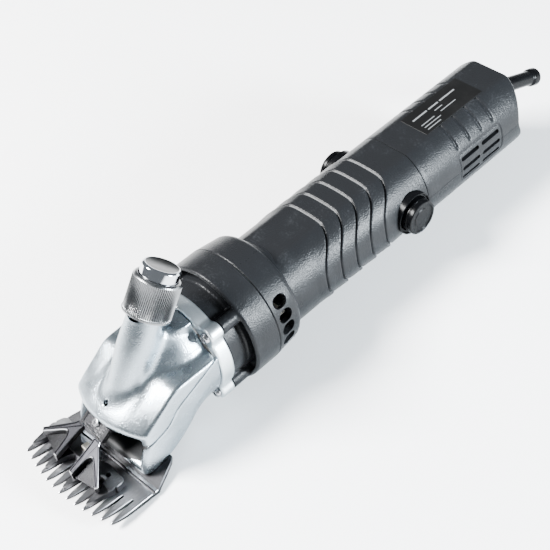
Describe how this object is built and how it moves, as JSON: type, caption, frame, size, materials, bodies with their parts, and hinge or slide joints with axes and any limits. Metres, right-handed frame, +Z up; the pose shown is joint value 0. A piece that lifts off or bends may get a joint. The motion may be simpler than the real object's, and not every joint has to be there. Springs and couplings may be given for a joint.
{
  "type": "electric sheep shears",
  "caption": "Motor handpiece for shearing sheep: a cutter swings over a toothed comb under a cast head, with a knurled tension nut and a ribbed handle.",
  "frame": {"origin": "centre of the bounding box, at its bottom, with the fork at the far end of its stroke", "axes": "+X along the handle from the comb towards the cable, +Y across to the far side, +Z up, square to the flat on top of the handle"},
  "size_m": [0.4196, 0.0774, 0.11],
  "materials": {
    "handle_plastic": "moulded black polyamide with a fine spark-eroded grain",
    "rating_plate": "blank black label with a satin face",
    "soft_black": "matt black moulded rubber",
    "head_casting": "shot-blasted die-cast aluminium, lacquered",
    "bearing_plate": "as-cast aluminium",
    "flange_aluminium": "turned and tumbled aluminium",
    "comb_steel": "surface-ground tool steel",
    "cutter_steel": "ground and blackened tool steel",
    "fork_steel": "black oxide forged steel",
    "gear_steel": "machined steel, lightly oiled",
    "knurled_nickel": "straight-knurled, nickel plated",
    "polished_chrome": "polished chrome plate with a satin grey top",
    "screw_steel": "zinc plated steel",
    "bearing_steel": "ground bearing steel",
    "laminations": "stacked varnished laminations",
    "copper": "turned copper bars",
    "carbon": "pressed carbon",
    "brass": "drawn brass",
    "white_nylon": "natural nylon",
    "black_plastic": "moulded black plastic"
  },
  "bodies": {
    "housing": {"handle_shell": "handle_plastic", "rear_cover_upper": "handle_plastic", "rear_cover_lower": "handle_plastic", "gear_cover": "handle_plastic", "rating_plate": "rating_plate", "cable_boot": "soft_black", "head_upper": "head_casting", "head_lower": "head_casting", "bearing_plate": "bearing_plate", "head_flange": "flange_aluminium", "comb": "comb_steel", "fulcrum_post": "gear_steel", "fulcrum_lock_nut": "gear_steel", "comb_screw_near": "screw_steel", "comb_screw_far": "screw_steel", "rear_cover_screw_1": "screw_steel", "rear_cover_screw_2": "screw_steel", "brush_spring_near": "screw_steel", "brush_spring_far": "screw_steel", "flange_screw_1": "screw_steel", "flange_screw_2": "screw_steel", "flange_screw_3": "screw_steel", "flange_screw_4": "screw_steel", "crank_bearing_front": "bearing_steel", "crank_bearing_rear": "bearing_steel", "motor_bearing_front": "bearing_steel", "motor_bearing_rear": "bearing_steel", "stator": "laminations", "brush_near": "carbon", "brush_far": "carbon", "brush_holder_near": "brass", "brush_holder_far": "brass", "switch_body": "black_plastic", "motor_rear_bracket": "black_plastic"},
    "armature": {"armature_shaft": "gear_steel", "armature_core": "laminations", "commutator": "copper", "cooling_fan": "white_nylon"},
    "crank": {"crank_shaft": "gear_steel", "drive_gear": "gear_steel", "crank_pin": "gear_steel", "crank_roller": "gear_steel"},
    "fork": {"fork_arm": "fork_steel", "fork_plate": "fork_steel", "fork_plate_screw": "screw_steel", "foot_near": "fork_steel", "foot_far": "fork_steel", "cutter": "cutter_steel"},
    "switch": {"switch_bar": "white_nylon", "button_near": "soft_black", "button_far": "soft_black"},
    "tension_pin": {"tension_pin": "gear_steel"},
    "tension_nut": {"tension_nut": "knurled_nickel", "tension_cap": "polished_chrome"}
  },
  "joints": [
    {"name": "armature_spin", "type": "hinge", "parent": "housing", "child": "armature", "pos_m": [-0.07111, 0, 0.0353], "axis": [1, 0, 0], "continuous": true},
    {"name": "crank_spin", "type": "hinge", "parent": "housing", "child": "crank", "pos_m": [-0.09111, 0, 0.0513], "axis": [1, 0, 0], "continuous": true},
    {"name": "fork_swing", "type": "hinge", "parent": "housing", "child": "fork", "pos_m": [-0.12411, 0, 0.0388], "axis": [0.0715, 0, 0.9974], "range_deg": [0, 13.2]},
    {"name": "power_slide", "type": "slide", "parent": "housing", "child": "switch", "axis": [0, 1, 0], "range_m": [0, 0.005]},
    {"name": "tension_travel", "type": "slide", "parent": "housing", "child": "tension_pin", "axis": [0.5807, 0, 0.8141], "range_m": [0, 0.00226]},
    {"name": "tension_turn", "type": "hinge", "parent": "tension_pin", "child": "tension_nut", "pos_m": [-0.12801, 0, 0.0806], "axis": [0.5807, 0, 0.8141], "range_deg": [0, 540]}
  ],
  "couplings": [
    {"joint": "crank_spin", "follows": "armature_spin", "ratio": -0.23077},
    {"joint": "tension_travel", "follows": "tension_turn", "m_per_rad": 0.00023873}
  ]
}
